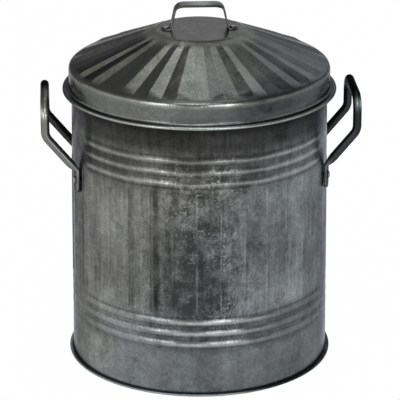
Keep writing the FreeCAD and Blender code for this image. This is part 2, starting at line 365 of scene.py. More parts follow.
def panel_relief(angle, share, panel):
    """Height of the panels: each rises to its right end, drops over a narrow step and is a bit hollow."""
    lean = np.sin(panel * 2.4) * 0.08 + np.sin(panel * 5.1 + 1) * 0.07
    step = np.where(share > STEP_AT, 1 - smooth((share - STEP_AT) / (1 - STEP_AT)), share / STEP_AT)
    hollow = 4 * share * (1 - share)
    return crease_sharpness(angle) * (0.75 * (step - 0.5) - 0.55 * hollow) + lean * (share - 0.5) * 4


def handle_flat(angle):
    """1 on the flats beside the side handles, where the beads fade out."""
    return smooth((np.abs(np.cos(angle)) - FLAT_FROM) / (FLAT_FULL - FLAT_FROM))


def bead_groups(height):
    """How far the flats clear the marks of the beads at a height."""
    return between(height, 240, 8, 304, 6) + LOW_BEADS_PRESSED * between(height, 50, 6, 102, 6)


def wall_wear_and_highlight(rows, angle, share, panel):
    """Bead crests lighter, most on the low beads at the front, and crease edges in broken lighter lines on
    the right: partly wear and partly painted highlight.
    """
    right = smooth((np.cos(angle) + 0.36) / 0.2)
    edge = crease_sharpness(angle) * right * hump(share, STEP_AT, 0.02)
    broken = 0.45 + 0.5 * np.sin(rows.height / 17 + 2.1 * panel)
    broken = broken + 0.4 * np.sin(rows.height / 7.3 + 4.7 * panel)
    low_crest = 0.04 + 0.9 * hump(from_front(angle), 3, 20)
    crest = np.where(rows.height < WALL_MIDDLE, low_crest, 0.35) * rows.wear
    crest = crest * (1 - handle_flat(angle) * bead_groups(rows.height))
    return np.clip(crest + 0.3 * rows.crease * edge * np.clip(broken, 0, 1), 0, 1)


def wall_grime_and_shade(rows, angle, share):
    """Darker beside the beads, under the lid, in the creases and round the flats, painted shade with some
    dirt, and dirt in two runs at the left; at the foot the darkening stays only on the right, a painted
    shadow.
    """
    turn = np.degrees(angle)
    height = rows.height
    right = smooth((np.cos(angle) + 0.36) / 0.2)
    crack = crease_sharpness(angle) * (hump(share, 0.99, 0.03) + hump(share, -0.01, 0.03))
    grime = rows.grime * (1 - handle_flat(angle) * bead_groups(height))
    grime = grime + rows.crease * (0.65 - 0.4 * right) * crack
    border = hump(np.abs(np.cos(angle)), FLAT_FROM - 0.007, 0.013)
    grime = grime + 0.6 * border * between(height, 250, 10, 330, 20)
    run = humps(turn, DIRT_RUNS) * (0.8 + 0.2 * np.sin(height / 9.1 + 1.3))
    grime = grime + run * between(height, 92, 8, 256, 8)
    # Painted shadow on the right side keeps the foot dark there
    right_foot_shade = smooth((np.sin(np.radians(turn - FRONT)) - SIDE_FROM) / 0.45)
    return np.clip(grime * (1 - 0.7 * smooth((12 - height) / 6) * (1 - right_foot_shade)), 0, 1)


def wall_tone(rows, angle, panel):
    """Lighter and darker panels, partly random and partly painted reflection; painted shade at the top under
    the lid; a darker upper left; darker flats low down beside the handles; painted reflection of the floor
    low down, lighter at the front left with a paler foot there and darker at the front right; and a lighter
    inside, painted light.
    """
    turn = np.degrees(angle)
    height = rows.height
    front = np.radians(turn - FRONT)
    patch = 0.08 * np.sin(panel * 3.7 + 0.6) + 0.06 * np.sin(panel * 1.9 + 2.2)
    # Painted reflection: the panels' tone follows their angle from the front
    patch = patch - 0.10 * np.cos(4 * front) - 0.12 * np.cos(3 * front)
    # Painted shade under the lid's brim, and a darker upper left
    dark_top = 0.42 * smooth((height - 276) / 12) + 0.32 * smooth((height - 288) / 12)
    dark_left = 0.48 * smooth((-np.sin(front) - SIDE_FROM) / 0.45) * smooth((height - 228) / 44)
    tone = rows.crease * patch - np.maximum(dark_top, dark_left)
    tone = tone - 0.16 * handle_flat(angle) * smooth((240 - height) / 20)
    # Painted reflection of the floor near the foot: darker to the front right, lighter and paler at the left
    tone = tone - 0.28 * np.sin(2 * front) * smooth((110 - height) / 20)
    tone = tone + 0.4 * hump(turn, PALE_FOOT, 14) * smooth((60 - height) / 20)
    # Painted light: the inside is made lighter
    return np.where(rows.face == INSIDE, 0.9, tone)


def wall_frost(rows, angle):
    """The zinc is frosted most on the front, the left, the back and the right, towards the back."""
    bloom = sum(hump(np.degrees(angle), place, FROST_WIDTH) for place in FROST_PLACES)
    return np.clip(0.1 + bloom * between(rows.height, 40, 60, 300, 30), 0, 1)


def wall_piece(material):
    """Wall sheet with beads, flattened panels between creases, rolled rim and foot flange."""
    angle, share, panel = wall_columns()
    rows = wall_rows()
    wave = WALL_WAVE * ripple(angle, rows.height) * (rows.face != EDGE)
    wave = wave * between(rows.height, 4, 20, 346, 20)
    radius = rows.radius + rows.crease * panel_relief(angle, share, panel) + wave
    radius = radius - BEAD_HEIGHT * rows.bead * handle_flat(angle)
    return make_piece(
        "wall", round_points(radius, angle, rows.height), loop_faces(len(radius), len(angle), True),
        "bucket", "wall_sheet", "body_shell", material,
        wear=wall_wear_and_highlight(rows, angle, share, panel), grime=wall_grime_and_shade(rows, angle, share),
        tone=wall_tone(rows, angle, panel), frost=wall_frost(rows, angle),
    )


# Turned pieces

def turned_piece(name, line, columns, body, slot, node, material, wear, grime, place=None):
    """Piece turned from a line that starts and ends on the axis; place moves its points."""
    line = np.asarray(line, float)
    r, z = line[1:-1, :1], line[1:-1, 1:]
    pole_z = line[[0, -1], 1]
    angle = np.linspace(0, 2 * math.pi, columns, endpoint=False)
    points = np.concatenate([round_points(r, angle, z), [[0, 0, height] for height in pole_z]])
    if place is not None:
        points = place(points)
    layers = {}
    for label, rule in (("wear", wear), ("grime", grime)):
        grid = rule(r, angle) + np.zeros((len(r), columns))
        poles = rule(np.zeros(2), np.zeros(2)) + np.zeros(2)
        layers[label] = np.concatenate([grid.reshape(-1), poles])
    return make_piece(name, points, turned_faces(len(r), columns), body, slot, node, material, **layers)


def base_piece(material):
    """Pressed floor and the folded seam that the bucket stands on."""
    side = wall(SHEET) - SHEET - 0.1
    fold = 3 * SHEET + 0.2
    lip = wall(fold) + 0.2
    tuck = SEAM_RADIUS - SHEET
    corners = [
        (0, PAN_FLOOR, 0), (side, PAN_FLOOR, 0.3), (side, SHEET, 0.2), (tuck, SHEET, 0.1),
        (tuck, fold - SHEET, 0.1), (lip, fold - SHEET, 0.1), (lip, fold, 0.35),
        (SEAM_RADIUS, fold, 1.2), (SEAM_RADIUS, 0, 1.0), (side - SHEET, 0, 0.8),
        (side - SHEET, PAN_FLOOR - SHEET, 0.8), (0, PAN_FLOOR - SHEET, 0),
    ]
    seam_from = 140.0

    # Painted shadow on the right of the foot
    def right_shade(angle):
        return smooth((np.sin(angle - math.radians(FRONT)) - SIDE_FROM) / 0.4)

    # The lip is lighter, partly wear and partly painted light, except in the painted shadow on the right
    def wear(r, angle):
        return np.where(r > wall(fold) + 1.4, 0.75, 0) * (1 - right_shade(angle))

    # Painted shade in the corner where the seam meets the wall, and painted shadow on the right
    def grime(r, angle):
        inner_corner = (r < wall(fold) + 1.0) & (r > seam_from)
        return np.where(inner_corner, 0.8, 0.1 + 0.85 * right_shade(angle) * (r > seam_from))

    return turned_piece("base", soft_line(corners, 12), BASE_POINTS, "bucket", "wall_sheet", "base_pan",
                        material, wear, grime)


def rivet_line(grip):
    """Half section of a rivet: hammered dome, short shank and flat tail."""
    dome = [(0, DOME_HEIGHT - 0.05)]
    for a in np.linspace(0, math.pi / 2, 9)[1:]:
        dome.append((DOME_RADIUS * math.sin(a), DOME_HEIGHT * math.cos(a) ** 0.8))
    end = -grip - TAIL_HEIGHT
    return dome + [
        (DOME_RADIUS - 0.2, 0), (SHANK_RADIUS, 0), (SHANK_RADIUS, -grip), (TAIL_RADIUS - 0.1, -grip),
        (TAIL_RADIUS, -grip - 0.4), (TAIL_RADIUS - 0.3, end), (0, end),
    ]


def rivet_wear_and_highlight(r, angle):
    """The dome is lighter, partly rubbed and partly painted highlight."""
    return np.where(r < 3.4, 0.9, 0.3)


def rivet_painted_shade(r, angle):
    """Painted shade round the foot of the dome."""
    return np.where(r > 4.2, 0.9, 0)


def rivet_piece(name, grip, body, node, material, place):
    """Rivet that holds a given thickness, moved to its place."""
    return turned_piece(name, rivet_line(grip), RIVET_POINTS, body, "rivet", node, material,
                        rivet_wear_and_highlight, rivet_painted_shade, place)


def lid_rivet(name, node, side, material):
    """Rivet through a strap foot and the disc."""
    def place(points):
        return points + np.array([side * STRAP_RIVET, 0, DISC_TOP + STRAP_SHEET])

    return rivet_piece(name, STRAP_SHEET + SHEET, "lid", node, material, place)


def tab_rivet(name, node, side, end, material):
    """Rivet through a handle tab and the wall."""
    def place(points):
        out = wall(TAB_RIVET) + TAB_THICK + points[:, 2]
        across = points[:, 0]
        z = TAB_RIVET + points[:, 1]
        c = math.cos(TAB_ANGLE)
        s = end * math.sin(TAB_ANGLE)
        return np.stack([side * (out * c - across * s), out * s + across * c, z], -1)

    return rivet_piece(name, TAB_THICK + SHEET + TAB_SLACK, "bucket", node, material, place)


# Lid

def cone(r, inset=0):
    """Height of the lid's cone at a radius; an inset goes into the sheet."""
    out = RIM_ROLL / 2 + LID_GAP + SHEET - inset
    return RIM_Z + (out - (r - RIM_R) * math.sin(LID_SLOPE)) / math.cos(LID_SLOPE)


def flute_columns():
    """Angle, place across a flute (0 on the ridge, 1 and -1 in the valleys) and facing of each column."""
    strip = (360 - FLUTE_PITCH * sum(FLUTE_GROUPS)) / len(FLUTE_GROUPS)
    half = np.array([0.04, 0.1, 0.2, 0.4, 0.6, 0.8, 0.9, 0.96])
    across = np.concatenate([-half[::-1], [0], half, [1]])
    start = FLUTE_TURN
    columns = []
    for count in FLUTE_GROUPS:
        columns += [(start + strip * t, 1, 0) for t in (0.04, 0.2, 0.4, 0.6, 0.8, 0.96, 1)]
        start += strip
        for _ in range(count):
            for q in across:
                columns.append((start + FLUTE_PITCH * (q + 1) / 2, q, np.sign(q) * (abs(q) < 0.99)))
            start += FLUTE_PITCH
    angle, q, facing = np.array(columns).T
    return np.radians(angle), q, facing


def lid_line():
    """Half section of the lid, out over the top, round the roll and back below, and the count of its top."""
    skirt_in = SKIRT_OUT - SHEET
    roll_r = SKIRT_OUT + BRIM_REACH - BRIM_ROLL
    roll_z = BRIM_TOP - BRIM_ROLL
    top = soft_line([
        (0, DISC_TOP, 0), (DISC_RADIUS, DISC_TOP, 2.6), (DISC_FOOT, cone(DISC_FOOT), 3.0),
        (SKIRT_OUT, cone(SKIRT_OUT), 7.0), (SKIRT_OUT, BRIM_TOP + 6.0, 0),
        (SKIRT_OUT, BRIM_TOP, 3.4), (roll_r, BRIM_TOP, 0),
    ], 3.2)
    meets = 180 - math.degrees(math.asin((BRIM_ROLL - SHEET) / BRIM_ROLL))
    turns = np.radians(np.linspace(84, meets - 360, 17))
    roll = np.stack([roll_r + BRIM_ROLL * np.cos(turns), roll_z + BRIM_ROLL * np.sin(turns)], -1)
    inner_foot = DISC_FOOT - 0.4
    under = soft_line([
        (roll_r - 1.7, BRIM_TOP - SHEET, 0), (skirt_in, BRIM_TOP - SHEET, 0.5),
        (skirt_in, cone(skirt_in, SHEET), 3.2), (inner_foot, cone(inner_foot, SHEET), 1.0),
        (DISC_RADIUS - 0.4, DISC_TOP - SHEET, 0.8), (0, DISC_TOP - SHEET, 0),
    ], 6.0)
    return np.concatenate([top, roll, under[1:]]), len(top)


def lid_wear_and_highlight(r, z, front):
    """Lighter fold of the shoulder, brim corner and rolled edge, most at the front: partly wear and partly
    painted highlight.
    """
    fold = hump(z, cone(SKIRT_OUT) - 3.0, 2.0) * (r > SKIRT_OUT - 3) * (0.05 + 0.95 * hump(front, -1.5, 30))
    edge = hump(z, BRIM_TOP - 1.8, 1.3) * (r > SKIRT_OUT + 3.5)
    corner = hump(z, BRIM_TOP + 0.8, 0.8) * (r > SKIRT_OUT - 1) * (r < SKIRT_OUT + 2.5)
    return np.maximum(fold, (edge + 0.8 * corner) * (0.35 + 0.65 * hump(front, 0, BRIM_FRONT)))


def lid_painted_shade(r, z, front, angle):
    """Painted shade on the brim beside the skirt away from the front, and round the foot of the disc's step,
    most at the front and the back.
    """
    seat = hump(r, SKIRT_OUT + 3.2, 2.6) * (z > BRIM_TOP - 1.2) * (z < BRIM_TOP + 4)
    seat = seat * (0.95 - 0.92 * hump(front, 0, BRIM_FRONT))
    step = hump(r, DISC_FOOT + 0.4, 1.8) * (0.1 + 0.5 * np.sin(angle) ** 6)
    return np.maximum(seat, step)


def flute_tone(r, front, q, facing):
    """Painted reflection on the flutes, one side of each lighter and the other darker, with broad painted
    light and shade on the cone, painted highlights at the inner tips at the front, and painted shade at the
    front right.
    """
    left = hump(front, *LEFT_FLUTES)
    light = 0.33 + 1.3 * left + humps(front, LIGHT_FLUTES)
    darkened = 0.36 + 0.34 * left + humps(front, DARK_FLUTES)
    lightened = (facing > 0) & (q > 0.25 * left)
    stripe = np.where(lightened, light, np.where(facing != 0, -darkened, -0.04))
    stripe = stripe * smooth((r - FLUTE_START) / FLUTE_RUN) * smooth((FLUTE_END + 1.0 - r) / 5)
    broad = humps(front, CONE_PATCHES) + 0.3 * between(front, 58, 12, 110, 20)
    tips = hump(r, 68, 5) * hump(front, 0, 26) * (facing >= 0)
    # Painted shade on the outer cone at the front right
    right_shade = hump(front, 44, 14) * smooth((r - 112) / 22) * (r < SKIRT_OUT - 2)
    return stripe + broad * (r > 60) + 0.35 * tips - 0.35 * right_shade


def lid_tone(r, front, angle, flutes):
    """Painted reflection on the flutes, on the plain ring round the disc and on the skirt, and on the brim a
    painted highlight at the front with painted shade elsewhere.
    """
    beside = np.abs(np.cos(angle))
    ring = np.clip((1.2 - 0.7 * np.cos(angle)) * beside, 0, 1.7) - 0.5 * hump(front, 0, 40)
    tone = np.maximum(flutes, DARKEST) + ring * (1 - smooth((r - 56) / 16)) * (r > DISC_RADIUS)
    skirt = 0.23 * np.sin(2 * angle + 0.12) + humps(front, SKIRT_PATCHES)
    brim = 2.1 * hump(front, 0, BRIM_FRONT) - 0.4
    return tone + skirt * (r > SKIRT_OUT - 2) + brim * (r > SKIRT_OUT + 0.6)


def lid_piece(material):
    """Lid sheet: disc, fluted cone, shoulder, skirt, brim and rolled edge."""
    angle, q, facing = flute_columns()
    line, top_count = lid_line()
    r, z = line[1:-1, :1], line[1:-1, 1:]
    on_cone = z > BRIM_TOP + 6
    ramp = between(r, FLUTE_START, FLUTE_RUN, FLUTE_END + 1.5, FLUTE_RUN) * on_cone
    gable = np.maximum(1 - np.sqrt(q * q + RIDGE_ROUND ** 2), 0)
    rise = FLUTE_HEIGHT * r / FLUTE_HEIGHT_AT * ramp * gable
    wave = LID_WAVE * ripple(angle, r * 1.7) * between(r, 60, 20, 149, 8) * on_cone
    poles = [[0, 0, line[0, 1]], [0, 0, line[-1, 1]]]
    points = np.concatenate([round_points(r, angle, z + rise + wave), poles])

    outside = np.zeros_like(r)
    outside[:top_count + 6] = 1
    front = from_front(angle)
    wear = np.clip(lid_wear_and_highlight(r, z, front) * outside, 0, 1)
    grime = np.clip(lid_painted_shade(r, z, front, angle) * outside + 0.3 * (1 - outside), 0, 1)
    tone = lid_tone(r, front, angle, flute_tone(r, front, q, facing) * on_cone) * outside
    layers = {
        label: np.concatenate([values.reshape(-1), [0, 0]])
        for label, values in (("wear", wear), ("grime", grime), ("tone", tone))
    }
    return make_piece("lid_top", points, turned_faces(len(r), len(angle)), "lid", "lid_sheet", "lid_shell",
                      material, **layers)


def strap_piece(material):
    """Bent strap with a crowned, turned-down grip and round feet."""
    low = DISC_TOP
    high = STRAP_CROWN - STRAP_SHEET
    half = [(STRAP_SHOULDER, high, STRAP_BEND), (STRAP_HEEL, low, STRAP_HEEL_BEND), (STRAP_TOE, low, 0)]
    line = soft_line([(-x, z, bend) for x, z, bend in half[::-1]] + half, 1.2)
    along = np.gradient(line, axis=0)
    along /= np.linalg.norm(along, axis=1)[:, None]
    normal = np.stack([-along[:, 1], along[:, 0]], -1)
    right = np.array([0.15, 0.4, 0.65, 0.8, 0.9, 0.97, 1])
    across = np.concatenate([-right[::-1], right])
    out = np.abs(across)
    points, wear, grime = [], [], []
    for (x, z), (up_x, up_z) in zip(line, normal):
        past_round = max(0, 1 - (STRAP_TOE - abs(x)) / STRAP_HALF)
        width = STRAP_HALF * math.sqrt(max(0.02, 1 - past_round ** 2))
        grip = smooth((z - high + 7) / 7) * smooth((29 - abs(x)) / 6)
        leg = smooth((z - low - 3) / 10)
        drop = -(LEG_LIP * leg + GRIP_LIP * grip) * np.clip((out - LIP_FROM) / (1 - LIP_FROM), 0, 1) ** 2
        y = width * across * (1 - 0.05 * grip * np.clip((out - 0.85) / 0.15, 0, 1))
        upper = STRAP_SHEET + drop
        points += list(np.stack([x + up_x * upper, y, z + up_z * upper], -1))
        points += list(np.stack([x + up_x * drop, y * 0.98, z + up_z * drop], -1)[::-1])
        # The middle of the grip's top is lighter, partly wear and partly painted highlight; the legs and the
        # grip's turned-down lips are darker, painted shade, and the grip's ends a little darker
        middle = hump(x, 0, 17)
        lightened = 0.25 + 0.75 * grip * middle * hump(out, 0.4, 0.4)
        dirt_and_leg_shade = max(0.35 * grip * (1 - middle), 0.6 * leg * (1 - grip))
        wear += [lightened, np.zeros_like(out)]
        grime += [np.maximum(dirt_and_leg_shade, grip * smooth((out - 0.86) / 0.05)), np.full_like(out, 0.3)]
    faces = tube_faces(len(line), 2 * len(across))
    return make_piece("strap", points, faces, "lid", "lid_strap", "lid_handle", material,
                      wear=np.concatenate(wear), grime=np.concatenate(grime))


# Side handles

def handle_route():
    """Centre line of the right handle's rod from the front neck to the rear neck."""
    base_x = wall(TAB_RIVET) * math.cos(TAB_ANGLE) + TAB_THICK / 2
    half = [
        ((base_x, -HANDLE_Y, TAB_TOP), 0),
        ((HANDLE_OUT, -HANDLE_Y, HANDLE_KNEE), HANDLE_BEND),
        ((HANDLE_OUT, -HANDLE_Y, HANDLE_TOP - ROD_RADIUS), HANDLE_CORNER),
    ]
    corners = half + [((x, -y, z), radius) for (x, y, z), radius in half[::-1]]
    points = [np.array(point, float) for point, _ in corners]
    line = [points[0]]
    for before, here, after, (_, radius) in zip(points, points[1:], points[2:], corners[1:-1]):
        back = (before - here) / np.linalg.norm(before - here)
        ahead = (after - here) / np.linalg.norm(after - here)
        half_angle = math.acos(np.clip(back @ ahead, -1, 1)) / 2
        reach = radius / math.tan(half_angle)
        middle = here + (back + ahead) / np.linalg.norm(back + ahead) * radius / math.sin(half_angle)
        start = here + back * reach - middle
        end = here + ahead * reach - middle
        sweep = math.pi - 2 * half_angle
        for w in np.linspace(0, 1, 11):
            arm = start * math.sin((1 - w) * sweep) + end * math.sin(w * sweep)
            line.append(middle + arm / math.sin(sweep))
    line.append(points[-1])
    return cut_runs(line, 4)


def tab_centre(z, end):
    """Middle of a tab's thickness at a height, at the front (end -1) or the rear (end 1)."""
    out = wall(z) + TAB_GAP + (TAB_THICK - TAB_GAP) / 2
    return np.array([out * math.cos(TAB_ANGLE), end * out * math.sin(TAB_ANGLE), z])


def handle_tone(centres, upper, lower, spot):
    """Painted light along the rod: tone upper and lower on the front leg, painted shade behind, and a painted
    highlight at a spot on each bend.
    """
    spot = math.radians(spot)
    bend_y = HANDLE_Y - HANDLE_CORNER * (1 - math.cos(spot))
    bend_z = HANDLE_TOP - ROD_RADIUS - HANDLE_CORNER * (1 - math.sin(spot))
    away = (np.abs(centres[:, 1]) - bend_y) ** 2 + (centres[:, 2] - bend_z) ** 2
    front = smooth((15 - centres[:, 1]) / 30)
    foot = smooth((292 - centres[:, 2]) / 25)
    return 4.0 * np.exp(-away / 18) + front * (upper + (lower - upper) * foot) - 0.5 * (1 - front)


def handle_piece(name, node, side, upper, lower, spot, material):
    """Bent rod whose ends are flattened into riveted tabs."""
    tab_heights = [TAB_BOTTOM + rise for rise in (0.15, 0.6, 1.4, 2.6, 4.2, 7, 11, 16, 21.5)]
    front_tab = [tab_centre(z, -1) for z in tab_heights]
    rear_tab = [tab_centre(z, 1) for z in tab_heights[::-1]]
    centres = np.array(front_tab + list(handle_route()) + rear_tab)
    along = np.gradient(centres, axis=0)
    along /= np.linalg.norm(along, axis=1)[:, None]
    length = np.concatenate([[0], np.cumsum(np.linalg.norm(np.diff(centres, axis=0), axis=1))])
    from_end = np.minimum(length, length[-1] - length)
    flat = 1 - smooth((from_end - NECK_FROM) / NECK_LENGTH)
    turn = TAB_ANGLE * np.clip(3.2 * length / length[-1] - 1.6, -1, 1)
    ring = np.linspace(0, 2 * math.pi, ROD_POINTS, endpoint=False)
    c, s = np.cos(ring), np.sin(ring)
    points = []
    for n, centre in enumerate(centres):
        normal = np.array([math.cos(turn[n]), math.sin(turn[n]), 0])
        normal = normal - along[n] * (normal @ along[n])
        normal /= np.linalg.norm(normal)
        across = np.cross(along[n], normal)
        tip = math.sqrt(max(0.03, 1 - max(0, 1 - from_end[n] / TAB_HALF) ** 2))
        wide = (TAB_HALF * flat[n] + ROD_RADIUS * (1 - flat[n])) * tip
        thick = (TAB_THICK - 0.2) / 2 * flat[n] + ROD_RADIUS * (1 - flat[n])
        # A low power squares the round section into a tab
        power = 1 - 0.55 * flat[n]
        u = np.copysign(np.abs(c) ** power, c) * wide
        v = np.copysign(np.abs(s) ** power, s) * thick
        points.append(centre + u[:, None] * across + v[:, None] * normal)
    points = np.concatenate(points) * np.array([side, 1, 1])
    tone = handle_tone(centres, upper, lower, spot)
    faces = tube_faces(len(centres), ROD_POINTS)
    return make_piece(name, points, faces, "bucket", "handle_rod", node, material,
                      wear=np.repeat(0.4 * flat, ROD_POINTS), tone=np.repeat(tone, ROD_POINTS))


# Materials

class Graph:
    """Nodes of one material, with short ways to add and join them."""

    def __init__(self, name):
        self.material = bpy.data.materials.new(name)
        self.material.use_nodes = True
        self.nodes = self.material.node_tree.nodes
        self.links = self.material.node_tree.links
        self.shader = self.nodes["Principled BSDF"]

    def add(self, kind, **settings):
        """New node with its settings."""
        node = self.nodes.new(kind)
        for key, value in settings.items():
            setattr(node, key, value)
        return node

    def feed(self, socket, value):
        """Set a plain number, vector or colour on a socket, or link an output to it."""
        if isinstance(value, (int, float, tuple)):
            socket.default_value = value
        else:
            self.links.new(value, socket)

    def calc(self, operation, a, b):
        """Result of a calculation with two values."""
        node = self.add("ShaderNodeMath", operation=operation)
        self.feed(node.inputs[0], a)
        self.feed(node.inputs[1], b)
        return node.outputs[0]

    def plus(self, a, b):
        """a + b"""
        return self.calc("ADD", a, b)

    def minus(self, a, b):
        """a - b"""
        return self.calc("SUBTRACT", a, b)

    def times(self, a, b):
        """a * b"""
        return self.calc("MULTIPLY", a, b)

    def attribute(self, name):
        """Value of a mesh attribute."""
        return self.add("ShaderNodeAttribute", attribute_name=name).outputs["Fac"]

    def noise(self, vector, scale, detail, roughness=0.55, output="Fac"):
        """Cloudy noise."""
        node = self.add("ShaderNodeTexNoise")
        self.feed(node.inputs["Scale"], scale)
        self.feed(node.inputs["Detail"], detail)
        self.feed(node.inputs["Roughness"], roughness)
        self.feed(node.inputs["Vector"], vector)
        return node.outputs[output]

    def cells(self, vector, scale):
        """One random value in each crystal-like cell."""
        node = self.add("ShaderNodeTexVoronoi")
        self.feed(node.inputs["Scale"], scale)
        self.feed(node.inputs["Vector"], vector)
        split = self.add("ShaderNodeSeparateColor")
        self.feed(split.inputs[0], node.outputs["Color"])
        return split.outputs[0]

    def upright(self, vector, squeeze):
        """Place squeezed in height, which draws a noise out upward."""
        node = self.add("ShaderNodeMapping")
        self.feed(node.inputs["Scale"], (1, 1, squeeze))
        self.feed(node.inputs["Vector"], vector)
        return node.outputs[0]

    def ramp(self, factor, *stops):
        """Colours between stops, each a place and a colour or grey value."""
        node = self.add("ShaderNodeValToRGB")
        while len(node.color_ramp.elements) < len(stops):
            node.color_ramp.elements.new(0.5)
        for element, (place, colour) in zip(node.color_ramp.elements, stops):
            element.position = place
            element.color = (*colour, 1) if isinstance(colour, tuple) else (colour, colour, colour, 1)
        self.feed(node.inputs["Fac"], factor)
        return node.outputs["Color"]

    def mix(self, factor, a, b, blend="MIX"):
        """Colour mixed from two colours."""
        node = self.add("ShaderNodeMix", data_type="RGBA", blend_type=blend)
        self.feed(node.inputs["Factor"], factor)
        for socket, colour in ((node.inputs[6], a), (node.inputs[7], b)):
            self.feed(socket, (*colour, 1) if isinstance(colour, tuple) else colour)
        return node.outputs[2]


# Colours from dark to light, roughness, and how strong each mark of the zinc is
Finish = namedtuple(
    "Finish", "dark mid light rough spangle streak speckle frost cool_below cool_rate edge relief uneven",
    defaults=(1.0, 1.0, 1.0, 0.0, 0.17, 1.1, 0.55, 0.35, 0.0),
)
SOOT = (0.008, 0.008, 0.0075)
WARM_GREY = (1.01, 1.02, 0.95)
COOL_GREY = (0.93, 1.0, 1.04)
WORN_LIGHTER = 4.0
WARP = 0.016
BUMP_DEPTH = 0.0006


def zinc_level(graph, finish, place, moved, height, grain):
    """How light the zinc is, about 0 to 1: clouds, spangle, speckle, frosted blotches, streaks and veins."""
    bloom = graph.attribute("frost")
    speckled = graph.plus(graph.times(bloom, 0.5 * finish.frost), 0.6 * finish.speckle)
    mottled = graph.plus(graph.times(bloom, 1.3 * finish.frost), 0.25 * finish.frost)
    # Streaks fade out on the foot of the wall
    streaked = graph.add("ShaderNodeMapRange")
    graph.feed(streaked.inputs["Value"], height)
    graph.feed(streaked.inputs["From Min"], 0.05)
    graph.feed(streaked.inputs["From Max"], 0.1)
    graph.feed(streaked.inputs["To Min"], 0.12 * finish.streak)
    graph.feed(streaked.inputs["To Max"], 0.6 * finish.streak)
    marks = (
        (graph.cells(moved, 62), 0.06 * finish.spangle),
        (graph.cells(moved, 170), 0.10 * finish.spangle),
        (grain, speckled),
        (graph.noise(moved, 58, 5, 0.62), mottled),
        (graph.noise(graph.upright(place, 0.09), 240, 4, 0.6), streaked.outputs[0]),
        (graph.noise(graph.upright(place, 0.16), 42, 3, 0.55), 0.3 * finish.streak),
    )
    total = graph.minus(graph.noise(place, 9, 5, 0.62), 0.5)
    for value, weight in marks:
        total = graph.plus(total, graph.times(graph.minus(value, 0.5), weight))
    swirl = graph.minus(graph.noise(moved, 80, 3, 0.6), 0.5)
    vein = graph.ramp(graph.calc("ABSOLUTE", swirl, 0), (0.0, 0.55), (0.035, 0))
    fleck = graph.ramp(graph.noise(moved, 310, 2, 0.5), (0.58, 0), (0.68, 1))
    area = graph.ramp(graph.noise(place, 17, 4, 0.6), (0.46, 0), (0.58, 1))
    frosted = graph.times(graph.times(graph.plus(vein, fleck), area), bloom)
    total = graph.plus(total, graph.times(frosted, 0.6 * finish.frost))
    return graph.minus(graph.plus(total, 0.5), graph.times(bloom, 0.29 * finish.frost))


def zinc_colour(graph, finish, place, moved, sides, level):
    """Colour of the clean zinc, cooler to the right and low down, scaled by the tone of its place, which
    holds random tone and painted light and shade.
    """
    colour = graph.ramp(level, (0.12, finish.dark), (0.5, finish.mid), (0.9, finish.light))
    tint = graph.plus(graph.noise(place, 5, 2), graph.times(sides.outputs[0], 1.8))
    below = graph.minus(finish.cool_below, sides.outputs[2])
    tint = graph.plus(tint, graph.times(below, finish.cool_rate))
    hue = graph.ramp(tint, (0.24, WARM_GREY), (0.56, COOL_GREY))
    colour = graph.mix(1.0, colour, hue, "MULTIPLY")
    tone = graph.attribute("tone")
    if finish.uneven:
        broken = graph.minus(graph.noise(moved, 75, 5, 0.65), 0.5)
        tone = graph.times(tone, graph.plus(graph.times(broken, 2 * finish.uneven), 1.0))
    shade = graph.add("ShaderNodeVectorMath", operation="SCALE")
    graph.feed(shade.inputs[0], colour)
    graph.feed(shade.inputs["Scale"], graph.plus(tone, 1.0))
    return shade.outputs[0]


def galvanised(name, finish):
    """Weathered zinc, with worn crests, grime in the folds, and fine grain and scratches."""
    graph = Graph(name)
    shader = graph.shader
    shader.inputs["Metallic"].default_value = 1.0
    shader.inputs["Specular Tint"].default_value = (finish.edge, finish.edge, 1.04 * finish.edge, 1)
    place = graph.add("ShaderNodeTexCoord").outputs["Object"]
    sides = graph.add("ShaderNodeSeparateXYZ")
    graph.feed(sides.inputs[0], place)
    warp = graph.add("ShaderNodeVectorMath", operation="MULTIPLY_ADD")
    for socket, value in zip(warp.inputs, (graph.noise(place, 60, 3, output="Color"), (WARP,) * 3, place)):
        graph.feed(socket, value)
    moved = warp.outputs[0]
    grain = graph.noise(moved, 430, 4, 0.65)
    level = zinc_level(graph, finish, place, moved, sides.outputs[2], grain)
    colour = zinc_colour(graph, finish, place, moved, sides, level)

    worn_patch = graph.ramp(graph.noise(place, 70, 4, 0.6), (0.3, 0.45), (0.62, 1))
    worn = graph.times(graph.attribute("wear"), worn_patch)
    foul_patch = graph.ramp(graph.noise(place, 90, 4), (0.2, 0.5), (0.6, 1))
    foul = graph.times(graph.attribute("grime"), foul_patch)
    colour = graph.mix(graph.times(worn, 0.85), colour, tuple(WORN_LIGHTER * value for value in finish.mid))
    colour = graph.mix(graph.times(foul, 0.82), colour, SOOT)
    graph.feed(shader.inputs["Base Color"], colour)

    rough = graph.plus(finish.rough, graph.times(graph.minus(0.5, level), 0.22))
    rough = graph.minus(rough, graph.times(worn, 0.10))
    rough = graph.plus(rough, graph.times(foul, 0.16))
    graph.feed(shader.inputs["Roughness"], rough)

    scratch = graph.noise(graph.upright(place, 0.03), 900, 2, 0.5)
    height = graph.plus(graph.times(grain, 0.6), graph.times(scratch, 0.4))
    height = graph.plus(height, graph.times(graph.noise(place, 26, 3), 5.0))
    bump = graph.add("ShaderNodeBump")
    for label, value in (("Strength", finish.relief), ("Distance", BUMP_DEPTH), ("Height", height)):
        graph.feed(bump.inputs[label], value)
    graph.feed(shader.inputs["Normal"], bump.outputs["Normal"])
    return graph.material


